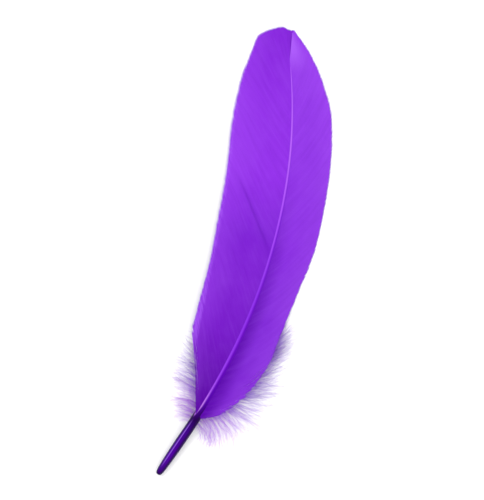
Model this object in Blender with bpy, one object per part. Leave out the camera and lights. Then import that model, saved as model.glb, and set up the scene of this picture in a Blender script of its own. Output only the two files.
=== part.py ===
"""A dyed goose quill feather, lying with its smooth outer side up on a level surface.

Metres, +Z up. The quill's bare end is at low Y and the rounded tip at high Y. Seen from
above, the shaft bows towards +X, the wide vane lies on its -X side and the narrow one
on its +X side. The origin is under the middle of the feather, on the surface.

A place on the feather is given by two distances: how far it is along the shaft from the
quill's end, and how far it is out from the shaft, at right angles to it. Past the end of
the shaft, the same curve runs on to the feather's tip.

A feather grows as one piece of keratin, so it is one solid: a tapering shaft, one thin
sheet of barbs that crosses it, and the loose locks of down round the sheet's base.
"""

import bisect
import math
import random

import bmesh
import bpy
from mathutils import Vector

# Driving dimensions of the shaft, seen from above
QUILL_LENGTH = 0.026  # bare quill, from its end to the lowest barb
SHAFT_END = 0.1695  # where the shaft runs out, short of the feather's tip
FEATHER_END = 0.1824
STRAIGHT_LENGTH = 0.020  # the shaft is straight up to here, then bends
SHAFT_LEAN = math.radians(18.3)  # the quill's heading, from +Y towards +X
SHAFT_BEND = 3.85  # curvature where the bend starts, 1/m
SHAFT_BEND_GROWTH = 10.85  # how fast the curvature grows towards the tip, 1/m per m
SEAM_LEAN = 0.24  # past the shaft, the vanes meet on a line that leans towards +X
SEAM_END = 0.1788  # and that ends here, in the small notch of the tip
MIDDLE = Vector((0.01379, 0.08893, 0.0))  # middle of the feather's box, from the quill's end

# Shaft radius and height of its centre line, each against the distance along the shaft
SHAFT_RADIUS = (
    (0.0, 0.00078),
    (0.0004, 0.00104),
    (0.0012, 0.00128),
    (0.0035, 0.00150),
    (0.008, 0.00170),
    (0.016, 0.00184),
    (0.026, 0.00176),
    (0.036, 0.00134),
    (0.060, 0.00104),
    (0.090, 0.00080),
    (0.120, 0.00060),
    (0.150, 0.00040),
    (0.1695, 0.00018),
)
SHAFT_HEIGHT = (
    (0.0, 0.00125),
    (0.004, 0.00162),
    (0.016, 0.00242),
    (0.030, 0.00345),
    (0.060, 0.00555),
    (0.095, 0.00665),
    (0.130, 0.00520),
    (0.155, 0.00262),
    (0.1695, 0.00120),
    (0.185, 0.00050),
)

# Width of each vane against the distance along the shaft, and the rounding of the tip
WIDE_WIDTH = (
    (0.0260, 0.0022),
    (0.0370, 0.0082),
    (0.0500, 0.0160),
    (0.0600, 0.0188),
    (0.0850, 0.0216),
    (0.1100, 0.0234),
    (0.1370, 0.0234),
    (0.1480, 0.0225),
    (0.1633, 0.0192),
    (0.1718, 0.0154),
    (0.1764, 0.0134),
    (0.1824, 0.0108),
)
NARROW_WIDTH = (
    (0.0260, 0.0014),
    (0.0285, 0.0046),
    (0.0360, 0.0096),
    (0.0460, 0.0127),
    (0.0560, 0.0143),
    (0.0720, 0.0137),
    (0.0840, 0.0141),
    (0.1020, 0.0157),
    (0.1300, 0.0158),
    (0.1480, 0.0149),
    (0.1585, 0.0123),
    (0.1688, 0.0087),
    (0.1770, 0.0046),
    (0.1824, 0.0016),
)
TIP_ROUNDING = 0.0060
SQUARENESS = 2.4  # 2 rounds the tip as an ellipse does, and more is blunter

# Height of each vane's free edge against the distance along the shaft
WIDE_EDGE_HEIGHT = (
    (0.026, 0.0030),
    (0.060, 0.0029),
    (0.100, 0.0022),
    (0.140, 0.0013),
    (0.165, 0.0006),
    (0.185, 0.0003),
)
NARROW_EDGE_HEIGHT = (
    (0.026, 0.0028),
    (0.050, 0.0022),
    (0.080, 0.0006),
    (0.110, 0.00024),
    (0.150, 0.0004),
    (0.185, 0.0003),
)
WIDE_SWELL = 0.00050  # each vane rises this much, a third of the way out, before it turns down
NARROW_SWELL = 0.00040
BARB_LEVEL = 0.75  # the barbs' roots are this many radii above the shaft's centre
BARB_SINK = 0.0003  # less this, so that the shaft's back stands proud of them to its end
VANE_THICKNESS = 0.0004

# Angle between barb and shaft, at the barb's root and far out, against the root's distance
WIDE_ROOT_ANGLE = ((0.026, 34.0), (0.045, 42.0), (0.130, 42.0), (0.150, 34.0), (0.180, 9.0))
WIDE_FAR_ANGLE = ((0.026, 30.0), (0.090, 27.0), (0.130, 25.0), (0.150, 18.0), (0.180, 8.0))
NARROW_ROOT_ANGLE = (
    (0.026, 66.0),
    (0.040, 50.0),
    (0.090, 42.0),
    (0.130, 40.0),
    (0.150, 33.0),
    (0.180, 17.0),
)
NARROW_FAR_ANGLE = (
    (0.026, 14.0),
    (0.040, 22.0),
    (0.090, 28.0),
    (0.130, 26.0),
    (0.150, 19.0),
    (0.180, 15.0),
)
BARB_TURN_LENGTH = 0.014  # a barb has turned most of the way after this distance

# Locks of down, against the distance of their roots: angle from the shaft at root and tip,
# and length
WIDE_DOWN = (
    (0.0245, 95.0, 125.0, 0.0085),
    (0.0300, 88.0, 112.0, 0.0140),
    (0.0360, 80.0, 100.0, 0.0185),
    (0.0420, 72.0, 84.0, 0.0205),
    (0.0490, 62.0, 60.0, 0.0225),
)
NARROW_DOWN = (
    (0.0245, 93.0, 114.0, 0.0120),
    (0.0300, 84.0, 108.0, 0.0190),
    (0.0360, 78.0, 102.0, 0.0240),
    (0.0420, 74.0, 92.0, 0.0260),
    (0.0480, 72.0, 78.0, 0.0252),
    (0.0520, 68.0, 56.0, 0.0234),
    (0.0570, 64.0, 36.0, 0.0230),
)
WIDE_DOWN_LOCKS = 20
NARROW_DOWN_LOCKS = 26
DOWN_RADIUS = 0.00028
DOWN_TIP_RADIUS = 0.00010
DOWN_TIP_HEIGHTS = (0.0003, 0.0012)
DOWN_LENGTHS = (0.88, 1.0)  # shares of the lengths above
DOWN_ROOT_DEPTH = 0.35  # below the shaft's centre, in radii
DOWN_DROOP = 0.55  # under 1, a lock comes down soon and then runs level
SEED = 4

# How finely the solid is cut into flat faces
PATH_STEP = 0.0005
SHAFT_SIDES = 14
SHAFT_RINGS = 42
BARB_ROWS = 74
BARB_STEPS = 8
RIB_HEIGHT = 0.0001  # every other row of the sheet stands this much proud, as barbs do
DOWN_SIDES = 4
DOWN_STEPS = 6
SHARP_ANGLE = math.radians(40)

FEATHER_COLOUR = (0.278, 0.033, 0.730, 1.0)
FEATHER_ROUGHNESS = 0.55


def clear_scene():
    for obj in list(bpy.data.objects):
        bpy.data.objects.remove(obj)


def along(knots, place, column=1):
    """A column's value at a place, on a smooth curve through the knots with no overshoot."""
    places = [knot[0] for knot in knots]
    values = [knot[column] for knot in knots]
    if place <= places[0]:
        return values[0]
    if place >= places[-1]:
        return values[-1]
    gaps = [b - a for a, b in zip(places, places[1:])]
    slopes = [(b - a) / gap for a, b, gap in zip(values, values[1:], gaps)]

    def slope_at(knot):
        if knot in (0, len(knots) - 1):
            return slopes[0] if knot == 0 else slopes[-1]
        before, after = slopes[knot - 1], slopes[knot]
        return 0.0 if before * after <= 0 else 2 * before * after / (before + after)

    left = bisect.bisect_right(places, place) - 1
    gap = gaps[left]
    t = (place - places[left]) / gap
    return (
        values[left] * (1 + 2 * t) * (1 - t) ** 2
        + values[left + 1] * t * t * (3 - 2 * t)
        + gap * slope_at(left) * t * (1 - t) ** 2
        - gap * slope_at(left + 1) * t * t * (1 - t)
    )


def shaft_heading(distance):
    """The shaft's heading from +Y towards +X."""
    bent = max(0.0, distance - STRAIGHT_LENGTH)
    return SHAFT_LEAN - bent * (SHAFT_BEND + SHAFT_BEND_GROWTH * bent / 2)


def shaft_line():
    """Points every PATH_STEP along the shaft's curve, to the feather's tip."""
    points = [Vector((0.0, 0.0, 0.0))]
    for step in range(int(FEATHER_END / PATH_STEP) + 4):
        heading = shaft_heading((step + 0.5) * PATH_STEP)
        points.append(points[-1] + PATH_STEP * Vector((math.sin(heading), math.cos(heading), 0.0)))
    return points


SHAFT_LINE = shaft_line()


def on_feather(distance, outward, height):
    """The point at a distance along the shaft and a distance towards +X from it."""
    step = min(max(distance / PATH_STEP, 0.0), len(SHAFT_LINE) - 1.001)
    low = int(step)
    point = SHAFT_LINE[low].lerp(SHAFT_LINE[low + 1], step - low)
    heading = shaft_heading(distance)
    point += outward * Vector((math.cos(heading), -math.sin(heading), 0.0))
    point.z = height
    return point - MIDDLE


def seam(distance):
    """How far towards +X from the shaft's curve the two vanes meet."""
    return SEAM_LEAN * max(0.0, distance - SHAFT_END)


class Vane:
    """One of the two vanes: where its edge is, how high it lies and where its barbs run."""

    def __init__(self, side, width, edge_height, swell, root_angle, far_angle):
        self.side = side
        self.width_knots = width
        self.edge_height = edge_height
        self.swell = swell
        self.root_angle = root_angle
        self.far_angle = far_angle

    def width(self, distance):
        """How far out the vane's edge is; past the feather's end it lies inside the seam."""
        inner = self.side * seam(distance)
        full = along(self.width_knots, distance) - inner
        past = (distance - FEATHER_END) / TIP_ROUNDING + 1
        rounded = (1 - min(max(past, 0.0), 1.0) ** SQUARENESS) ** (1 / SQUARENESS)
        return inner + full * rounded - max(0.0, distance - FEATHER_END)

    def height(self, distance, outward):
        """Height of the sheet's middle: it swells beside the shaft, then turns down."""
        root = along(SHAFT_HEIGHT, distance) + BARB_LEVEL * along(SHAFT_RADIUS, distance)
        root -= BARB_SINK
        share = min(max(outward, 0.0) / max(self.width(distance), PATH_STEP), 1.0)
        drop = (root - along(self.edge_height, distance)) * share**2
        return root - drop + self.swell * (3 * share) ** 2 * (1.5 * (1 - share)) ** 4

    def barb(self, root):
        """(distance, outward) of BARB_STEPS + 1 points, evenly along the barb with this root."""
        first, last = along(self.root_angle, root), along(self.far_angle, root)
        distance, outward = root, self.side * seam(root)
        path = []
        room = self.width(distance) - outward
        while room > 0:
            path.append((distance, outward))
            turned = 1 - math.exp(-len(path) * PATH_STEP / BARB_TURN_LENGTH)
            angle = math.radians(first + (last - first) * turned)
            distance += PATH_STEP * math.cos(angle)
            outward += PATH_STEP * math.sin(angle)
            room_before, room = room, self.width(distance) - outward
        share = room_before / (room_before - room)
        path.append(part_way(path[-1], (distance, outward), share))
        points = []
        for number in range(BARB_STEPS + 1):
            place = (len(path) - 2 + share) * number / BARB_STEPS
            low = min(int(place), len(path) - 2)
            reach = share if low == len(path) - 2 else 1.0
            points.append(part_way(path[low], path[low + 1], (place - low) / reach))
        return points


def part_way(start, end, share):
    return tuple(a + (b - a) * share for a, b in zip(start, end))


WIDE_VANE = Vane(
    -1, WIDE_WIDTH, WIDE_EDGE_HEIGHT, WIDE_SWELL, WIDE_ROOT_ANGLE, WIDE_FAR_ANGLE
)
NARROW_VANE = Vane(
    1, NARROW_WIDTH, NARROW_EDGE_HEIGHT, NARROW_SWELL, NARROW_ROOT_ANGLE, NARROW_FAR_ANGLE
)


def closed_tube(bm, rings):
    """Joins rings of points into a tube with flat ends."""
    loops = [[bm.verts.new(point) for point in ring] for ring in rings]
    for low, high in zip(loops, loops[1:]):
        for corner in range(len(low)):
            after = (corner + 1) % len(low)
            bm.faces.new((low[corner], low[after], high[after], high[corner]))
    bm.faces.new(loops[0][::-1])
    bm.faces.new(loops[-1])


def ring(centre, outward, up, radius, sides):
    """Points round a centre, in the plane of outward and up."""
    points = []
    for corner in range(sides):
        angle = 2 * math.pi * corner / sides
        points.append(centre + radius * (math.cos(angle) * outward + math.sin(angle) * up))
    return points


def object_from(bm, name):
    bmesh.ops.recalc_face_normals(bm, faces=bm.faces)
    mesh = bpy.data.meshes.new(name)
    bm.to_mesh(mesh)
    bm.free()
    mesh.shade_smooth()
    mesh.set_sharp_from_angle(angle=SHARP_ANGLE)
    obj = bpy.data.objects.new(name, mesh)
    bpy.context.scene.collection.objects.link(obj)
    return obj


def shaft_stations():
    """Distances along the shaft: close together at the rounded end, then even."""
    rounded = [0.0, 0.0004, 0.0012, 0.0025]
    rest = SHAFT_RINGS - len(rounded)
    span = SHAFT_END - rounded[-1]
    return rounded + [rounded[-1] + span * number / rest for number in range(1, rest + 1)]


def build_shaft():
    """The quill and the part of the shaft that carries the barbs, in one taper."""
    bm = bmesh.new()
    rings = []
    up = Vector((0.0, 0.0, 1.0))
    for distance in shaft_stations():
        heading = shaft_heading(distance)
        outward = Vector((math.cos(heading), -math.sin(heading), 0.0))
        centre = on_feather(distance, 0.0, along(SHAFT_HEIGHT, distance))
        rings.append(ring(centre, outward, up, along(SHAFT_RADIUS, distance), SHAFT_SIDES))
    closed_tube(bm, rings)
    return object_from(bm, "feather")


def sheet_row(number):
    """One row across the sheet: out along a barb of each vane from a shared root."""
    root = QUILL_LENGTH + (SEAM_END - QUILL_LENGTH) * number / (BARB_ROWS - 1)
    rib = RIB_HEIGHT * (number % 2)
    across = []
    for vane in (WIDE_VANE, NARROW_VANE):
        barb = [
            on_feather(distance, vane.side * outward, vane.height(distance, outward) + rib)
            for distance, outward in vane.barb(root)
        ]
        across += barb[:0:-1] if vane is WIDE_VANE else barb
    return across


def build_sheet():
    """Both vanes as one closed sheet of even thickness, right through the shaft."""
    bm = bmesh.new()
    rows = [sheet_row(number) for number in range(BARB_ROWS)]
    half = Vector((0.0, 0.0, VANE_THICKNESS / 2))
    top = [[bm.verts.new(point + half) for point in row] for row in rows]
    bottom = [[bm.verts.new(point - half) for point in row] for row in rows]

    def strip(near, far):
        for corner in range(len(near) - 1):
            bm.faces.new((near[corner], near[corner + 1], far[corner + 1], far[corner]))

    for number in range(BARB_ROWS - 1):
        strip(top[number], top[number + 1])
        strip(bottom[number + 1], bottom[number])
    strip(bottom[0], top[0])
    strip(top[-1], bottom[-1])
    strip([row[0] for row in top], [row[0] for row in bottom])
    strip([row[-1] for row in bottom], [row[-1] for row in top])
    return object_from(bm, "sheet_of_barbs")


def lock_points(vane, down, root, length_share, tip_height):
    """The centre line of one lock of down, from inside the shaft to its tip."""
    root_angle, tip_angle, length = (along(down, root, column) for column in (1, 2, 3))
    root_height = along(SHAFT_HEIGHT, root) - DOWN_ROOT_DEPTH * along(SHAFT_RADIUS, root)
    distance, outward = root, 0.0
    stretch = length * length_share / DOWN_STEPS
    points = []
    for step in range(DOWN_STEPS + 1):
        part = step / DOWN_STEPS
        height = root_height + (tip_height - root_height) * part**DOWN_DROOP
        points.append(on_feather(distance, vane.side * outward, height))
        angle = math.radians(root_angle + (tip_angle - root_angle) * part)
        distance += stretch * math.cos(angle)
        outward += stretch * math.sin(angle)
    return points


def build_down():
    """The locks of down on both sides, each a thin closed taper."""
    chance = random.Random(SEED)
    bm = bmesh.new()
    up = Vector((0.0, 0.0, 1.0))
    sides = ((WIDE_VANE, WIDE_DOWN, WIDE_DOWN_LOCKS), (NARROW_VANE, NARROW_DOWN, NARROW_DOWN_LOCKS))
    for vane, down, count in sides:
        for number in range(count):
            root = down[0][0] + (down[-1][0] - down[0][0]) * number / (count - 1)
            length_share = chance.uniform(*DOWN_LENGTHS)
            points = lock_points(vane, down, root, length_share, chance.uniform(*DOWN_TIP_HEIGHTS))
            rings = []
            for step, point in enumerate(points):
                ahead = points[min(step + 1, DOWN_STEPS)] - points[max(step - 1, 0)]
                outward = ahead.cross(up).normalized()
                radius = DOWN_RADIUS + (DOWN_TIP_RADIUS - DOWN_RADIUS) * step / DOWN_STEPS
                rings.append(ring(point, outward, up, radius, DOWN_SIDES))
            closed_tube(bm, rings)
    return object_from(bm, "locks_of_down")


def fuse(whole, piece):
    """Joins a piece to the whole, and keeps the piece out of the model."""
    union = whole.modifiers.new(piece.name, "BOOLEAN")
    union.operation = "UNION"
    union.solver = "EXACT"
    union.object = piece
    piece.hide_render = True
    piece.display_type = "WIRE"


def feather_material():
    material = bpy.data.materials.new("dyed_keratin")
    material.use_nodes = True
    shader = material.node_tree.nodes["Principled BSDF"]
    shader.inputs["Base Color"].default_value = FEATHER_COLOUR
    shader.inputs["Roughness"].default_value = FEATHER_ROUGHNESS
    shader.inputs["Metallic"].default_value = 0.0
    return material


def main():
    clear_scene()
    feather = build_shaft()
    fuse(feather, build_sheet())
    fuse(feather, build_down())
    feather.data.materials.append(feather_material())


main()
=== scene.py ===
"""Looks of the goose quill feather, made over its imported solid.

Metres, +Z up, in the solid's frame: +Y from the quill's end to the tip, +X towards the
narrow vane, the origin on the surface under the middle of the feather. A place on the
feather is given by two distances, along the shaft from the quill's end and outward from
the shaft. Every barb, strand and barbule grows from a guide line by a node tree.
"""

import math
import random
from dataclasses import dataclass

import bpy
import numpy as np
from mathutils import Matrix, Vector


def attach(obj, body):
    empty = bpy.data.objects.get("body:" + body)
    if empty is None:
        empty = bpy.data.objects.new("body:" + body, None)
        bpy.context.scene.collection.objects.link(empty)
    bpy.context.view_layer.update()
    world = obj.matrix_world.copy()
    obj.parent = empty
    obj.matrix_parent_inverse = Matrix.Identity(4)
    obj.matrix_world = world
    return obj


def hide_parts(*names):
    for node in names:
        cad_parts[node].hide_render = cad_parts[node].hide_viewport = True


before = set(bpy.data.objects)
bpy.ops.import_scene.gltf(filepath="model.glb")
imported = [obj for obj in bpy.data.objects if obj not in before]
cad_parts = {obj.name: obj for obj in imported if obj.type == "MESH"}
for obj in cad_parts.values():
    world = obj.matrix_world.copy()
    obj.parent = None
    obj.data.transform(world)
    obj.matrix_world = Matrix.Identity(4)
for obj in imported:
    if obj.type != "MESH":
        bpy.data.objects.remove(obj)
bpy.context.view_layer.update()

# Shaft, seen from above
QUILL_LENGTH = 0.026
SHAFT_END = 0.1695
FEATHER_END = 0.1824
STRAIGHT_LENGTH = 0.020
SHAFT_LEAN = math.radians(18.3)
SHAFT_BEND = 3.85
SHAFT_BEND_GROWTH = 10.85
SEAM_LEAN = 0.24  # past the shaft, the vanes meet on a line that leans towards +X
MIDDLE = np.array((0.01379, 0.08893, 0.0))  # middle of the solid's box, from the quill's end
PATH_STEP = 0.00025

# Everything below is set against the distance along the shaft
SHAFT_RADIUS = (
    (0.0, 0.00078), (0.0004, 0.00104), (0.0012, 0.00128), (0.0035, 0.00150), (0.008, 0.00170),
    (0.016, 0.00184), (0.026, 0.00176), (0.036, 0.00134), (0.060, 0.00104), (0.090, 0.00080),
    (0.120, 0.00060), (0.150, 0.00040), (0.1695, 0.00018),
)
SHAFT_HEIGHT = (
    (0.0, 0.00125), (0.004, 0.00162), (0.016, 0.00242), (0.030, 0.00345), (0.060, 0.00555),
    (0.095, 0.00665), (0.130, 0.00520), (0.155, 0.00262), (0.1695, 0.00120), (0.185, 0.00050),
)
RACHIS_SHARE = ((0.020, 0.0), (0.040, 1.0))  # round quill, then the squarer part with a groove
SHAFT_SECTIONS = 330
QUILL_END = (0.0, 0.00012, 0.0003, 0.0006, 0.0010, 0.0016, 0.0024)  # closer sections
QUILL_END_RADII = (0.00040, 0.00072, 0.00092, 0.00110)  # of the first of them
QUILL_END_LENGTH = 0.0034
SHAFT_TIP_LENGTH = 0.010  # over which the shaft thins out and sinks between the vanes
SHAFT_TIP_THINNING = 0.75
SHAFT_TIP_SINKING = 0.00024

WIDE_WIDTH = (
    (0.0260, 0.0022), (0.0370, 0.0082), (0.0500, 0.0160), (0.0600, 0.0188), (0.0850, 0.0216),
    (0.1100, 0.0234), (0.1370, 0.0234), (0.1480, 0.0225), (0.1633, 0.0192), (0.1718, 0.0154),
    (0.1764, 0.0131), (0.1824, 0.0099),
)
NARROW_WIDTH = (
    (0.0260, 0.0014), (0.0285, 0.0046), (0.0360, 0.0096), (0.0460, 0.0127), (0.0560, 0.0143),
    (0.0720, 0.0137), (0.0840, 0.0141), (0.1020, 0.0157), (0.1300, 0.0158), (0.1480, 0.0149),
    (0.1585, 0.0123), (0.1688, 0.0087), (0.1770, 0.0046), (0.1824, 0.0016),
)
TIP_ROUNDING = 0.0032
SQUARENESS = 2.9
NOTCH_DEPTH = 0.0025  # where the vanes meet at the tip
NOTCH_REACH = 0.0033
WIDE_EDGE_HEIGHT = (
    (0.026, 0.0030), (0.060, 0.0029), (0.100, 0.0022), (0.140, 0.0013), (0.165, 0.0006),
    (0.185, 0.0003),
)
NARROW_EDGE_HEIGHT = (
    (0.026, 0.0028), (0.050, 0.0022), (0.080, 0.0006), (0.110, 0.00024), (0.150, 0.0004),
    (0.185, 0.0003),
)
WIDE_SWELL = 0.00050
NARROW_SWELL = 0.00040
BARB_LEVEL = 0.75
BARB_SINK = 0.00016

# Angle between barb and shaft in degrees, at the barb's root and far out. The last barbs
# fan in until they run along the seam.
WIDE_ROOT_ANGLE = (
    (0.026, 34.0), (0.045, 42.0), (0.130, 42.0), (0.150, 35.0), (0.160, 22.0), (0.1695, -14.5),
)
WIDE_FAR_ANGLE = (
    (0.026, 30.0), (0.060, 31.0), (0.095, 29.0), (0.130, 25.0), (0.150, 18.0), (0.160, 9.0),
    (0.1695, -14.5),
)
NARROW_ROOT_ANGLE = (
    (0.026, 66.0), (0.040, 50.0), (0.090, 42.0), (0.130, 40.0), (0.150, 33.0), (0.160, 27.0),
    (0.1695, 12.5),
)
NARROW_FAR_ANGLE = (
    (0.026, 14.0), (0.040, 22.0), (0.090, 28.0), (0.130, 26.0), (0.150, 20.0), (0.160, 17.0),
    (0.1695, 12.5),
)
BARB_TURN_LENGTH = 0.014
LONGEST_BARB = 0.050

BARB_SPACING = 0.0004  # between roots, along the shaft
BARB_SEGMENTS = 22
WEB_OVERLAP = 1.30  # a web's width over the distance to the next barb
WIDEST_WEB = 0.00045  # half of it, as the next one is
THINNEST_WEB = 0.00001
BARB_POINT_LENGTH = 0.0006  # over which a barb's end narrows to its point
BARB_POINT_POWER = 0.6  # under 1, the point is blunt
BARB_OVERREACH = (0.00004, 0.00034)  # how far the points of the barbs pass the solid's edge
LEAST_HEIGHT = 0.00010  # of a guide line over the surface
BARB_BEND = math.radians(0.7)  # which neighbours share, over this much of the shaft:
BARB_BEND_SCALE = 0.0035
RIPPLES = ((0.00003, 0.0016), (0.00009, 0.006))  # height, and scale along the shaft

# How loosely the barbs hold together at the base, from 0 to 1, against their roots. A loose
# barb bends, falls short of the edge, lifts and is thinner
WIDE_LOOSENESS = ((0.026, 0.4), (0.029, 0.10), (0.034, 0.02), (0.042, 0.008), (0.060, 0.0))
NARROW_LOOSENESS = ((0.026, 0.6), (0.031, 0.20), (0.040, 0.05), (0.056, 0.0))
LOOSE_BEND = math.radians(5.0)
LOOSE_SHORTNESS = 0.0024
LOOSE_LIFT = 0.00040
LOOSE_THINNING = 0.45

CREASE_ROOT = 0.0945  # where the wide vane's barbs have come apart a little
CREASE_WIDTH = 0.0011
CREASE_DEPTH = 0.00024

# Locks of down, against their roots' distance: angle at root and tip in degrees, length of
# the longest and the shortest strand, and how many strands there are
WIDE_DOWN = (
    (0.0245, 95.0, 125.0, 0.0085, 0.0052, 9), (0.0300, 88.0, 112.0, 0.0140, 0.0084, 12),
    (0.0360, 80.0, 100.0, 0.0185, 0.0110, 14), (0.0420, 72.0, 84.0, 0.0205, 0.0125, 14),
    (0.0490, 62.0, 60.0, 0.0225, 0.0140, 12),
)
NARROW_DOWN = (
    (0.0245, 98.0, 140.0, 0.0122, 0.0068, 10), (0.0275, 92.0, 156.0, 0.0172, 0.0096, 12),
    (0.0300, 88.0, 142.0, 0.0208, 0.0118, 13), (0.0322, 86.0, 118.0, 0.0234, 0.0136, 14),
    (0.0345, 86.0, 98.0, 0.0250, 0.0148, 14), (0.0370, 84.0, 80.0, 0.0254, 0.0156, 14),
    (0.0395, 82.0, 67.0, 0.0254, 0.0166, 15), (0.0425, 80.0, 53.0, 0.0254, 0.0176, 17),
    (0.0455, 78.0, 38.0, 0.0252, 0.0182, 17), (0.0500, 78.0, 25.0, 0.0250, 0.0190, 17),
    (0.0585, 76.0, 18.0, 0.0250, 0.0194, 17),
)
WIDE_DOWN_LOCKS = 22
NARROW_DOWN_LOCKS = 32
ROOT_SPREAD = 0.0012  # of a lock's strands along the shaft, either way
LOCK_LEAN = 7  # degrees, either way
LOCK_FAN = 32  # degrees from its first strand to its last
STRAND_TURN = 13  # degrees, as a standard deviation, as the next one is
STRAND_CURL = 20
STRAND_WAVES = (0.7, 2.2)  # of its curl, along its length
DOWN_ROOT_DEPTH = 0.35  # below the shaft's middle, over its radius
LOCK_TIP_HEIGHT = (0.0003, 0.0014)
DOWN_FALL = 0.55  # under 1, a strand falls fastest by the shaft
STRAND_ARCH = 0.0012
STRAND_BOB = 0.0003
BOB_WAVES = 1.3
STRAND_SEGMENTS = 15
STRAND_RADIUS = 0.000032
STRAND_TIP_RADIUS = 0.000016
# Down stays under a roof, so far below the vane and rising steeply past its edge. A strand
# keeps so far from the roof, and from the surface, for its barbules
ROOF_DROP = 0.00015
ROOF_SLOPE = 1.5
BARBULE_ROOM = 0.0002
BARE_SHARE = 0.10  # of a strand, by its root, without barbules
BARBULE_LEAN = (0.75, 1.25)  # radians from the strand
BARBULE_TWIST = (-0.7, 0.7)  # radians out of the strand's own plane
BARBULE_SIZES = (0.6, 1.1)

MM = 0.001
LIGHT_LEVEL = 1.28  # on a level surface, where 1 shows a white one as white


# The feather's own shape


def along(knots, places, column=1):
    """A column's values at places, on a smooth curve through the knots with no overshoot."""
    at = np.array([knot[0] for knot in knots])
    values = np.array([knot[column] for knot in knots])
    gaps = np.diff(at)
    slopes = np.diff(values) / gaps
    before, after = slopes[:-1], slopes[1:]
    turning = before * after <= 0
    inner = np.where(turning, 0.0, 2 * before * after / np.where(turning, 1.0, before + after))
    steep = np.concatenate((slopes[:1], inner, slopes[-1:]))
    places = np.clip(places, at[0], at[-1])
    left = np.clip(np.searchsorted(at, places, "right") - 1, 0, len(gaps) - 1)
    t = (places - at[left]) / gaps[left]
    return (
        values[left] * (1 + 2 * t) * (1 - t) ** 2
        + values[left + 1] * t * t * (3 - 2 * t)
        + gaps[left] * steep[left] * t * (1 - t) ** 2
        - gaps[left] * steep[left + 1] * t * t * (1 - t)
    )


def heading(distance):
    """The shaft's heading from +Y towards +X."""
    bent = np.maximum(0.0, distance - STRAIGHT_LENGTH)
    return SHAFT_LEAN - bent * (SHAFT_BEND + SHAFT_BEND_GROWTH * bent / 2)


def sums_before(values):
    """For each value, the sum of those before it."""
    return np.concatenate(([0.0], np.cumsum(values)[:-1]))


LINE_PLACES = np.arange(int(FEATHER_END / PATH_STEP) + 8) * PATH_STEP
LINE_HEADING = heading(LINE_PLACES + PATH_STEP / 2)
LINE_X, LINE_Y = sums_before(np.sin(LINE_HEADING)), sums_before(np.cos(LINE_HEADING))


def on_feather(distance, outward, height):
    """Points at distances along the shaft and distances towards +X from it."""
    turned = heading(distance)
    x = np.interp(distance, LINE_PLACES, LINE_X * PATH_STEP) + outward * np.cos(turned)
    y = np.interp(distance, LINE_PLACES, LINE_Y * PATH_STEP) - outward * np.sin(turned)
    return np.stack((x, y, height + 0 * x), axis=-1) - MIDDLE


def seam(distance):
    """How far towards +X the vanes meet, past the end of the shaft."""
    return SEAM_LEAN * np.maximum(0.0, distance - SHAFT_END)


@dataclass
class Vane:
    """One of the two vanes: where its edge is, how high it lies and where its barbs run."""

    side: int  # 1 towards +X, -1 away from it
    width_knots: tuple
    edge_height: tuple
    swell: float
    root_angle: tuple
    far_angle: tuple
    looseness: tuple
    crease_root: float = -1.0  # none, off the vane

    def width(self, distance):
        """From the shaft's middle to the edge, which is rounded off at the tip."""
        inner = self.side * seam(distance)
        full = along(self.width_knots, distance) - inner
        past = np.clip((distance - FEATHER_END) / TIP_ROUNDING + 1, 0.0, 1.0)
        rounded = (1 - past**SQUARENESS) ** (1 / SQUARENESS)
        return inner + full * rounded - np.maximum(0.0, distance - FEATHER_END)

    def height(self, distance, outward):
        """From the shaft down to the edge, with a swell that is highest a third of the way."""
        root = along(SHAFT_HEIGHT, distance) + BARB_LEVEL * along(SHAFT_RADIUS, distance)
        root = root - BARB_SINK
        width = np.maximum(self.width(distance), PATH_STEP)
        share = np.clip(np.maximum(outward, 0.0) / width, 0.0, 1.0)
        drop = (root - along(self.edge_height, distance)) * share**2
        return root - drop + self.swell * (3 * share) ** 2 * (1.5 * (1 - share)) ** 4

    def barbs(self, roots, bends, overreach):
        """Each barb's (distance, outward) at even steps, and its length.

        Bends turn whole barbs by so many radians, and overreach takes a barb so far past
        the edge.
        """
        first = np.radians(along(self.root_angle, roots))
        last = np.radians(along(self.far_angle, roots))
        place = np.stack((roots, self.side * seam(roots)), axis=-1)
        trail = [place]
        steps = int(LONGEST_BARB / PATH_STEP)
        for step in range(1, steps + 1):
            turned = 1 - math.exp(-step * PATH_STEP / BARB_TURN_LENGTH)
            angle = first + (last - first + bends) * turned
            place = place + PATH_STEP * np.stack((np.cos(angle), np.sin(angle)), axis=-1)
            trail.append(place)
        trail = np.array(trail)
        distance, outward = trail[..., 0], trail[..., 1]
        from_seam = (outward - self.side * seam(distance)) / NOTCH_REACH
        end = FEATHER_END - NOTCH_DEPTH * np.exp(-(from_seam**2))
        room = np.minimum(self.width(distance) - outward, end - distance) + overreach
        outside = np.argmax(room <= 0, axis=0)
        barb = np.arange(len(roots))
        before, after = room[outside - 1, barb], room[outside, barb]
        length = outside - 1 + before / (before - after)
        at = length[:, None] * np.linspace(0, 1, BARB_SEGMENTS + 1)
        low = np.minimum(at.astype(int), steps - 1)
        share = (at - low)[..., None]
        rows = barb[:, None]
        return trail[low, rows] * (1 - share) + trail[low + 1, rows] * share, length * PATH_STEP


WIDE_VANE = Vane(
    -1, WIDE_WIDTH, WIDE_EDGE_HEIGHT, WIDE_SWELL, WIDE_ROOT_ANGLE, WIDE_FAR_ANGLE,
    WIDE_LOOSENESS, CREASE_ROOT,
)
NARROW_VANE = Vane(
    1, NARROW_WIDTH, NARROW_EDGE_HEIGHT, NARROW_SWELL, NARROW_ROOT_ANGLE, NARROW_FAR_ANGLE,
    NARROW_LOOSENESS,
)


# Guide lines


def unit(vectors):
    return vectors / np.maximum(np.linalg.norm(vectors, axis=-1, keepdims=True), 1e-12)


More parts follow.
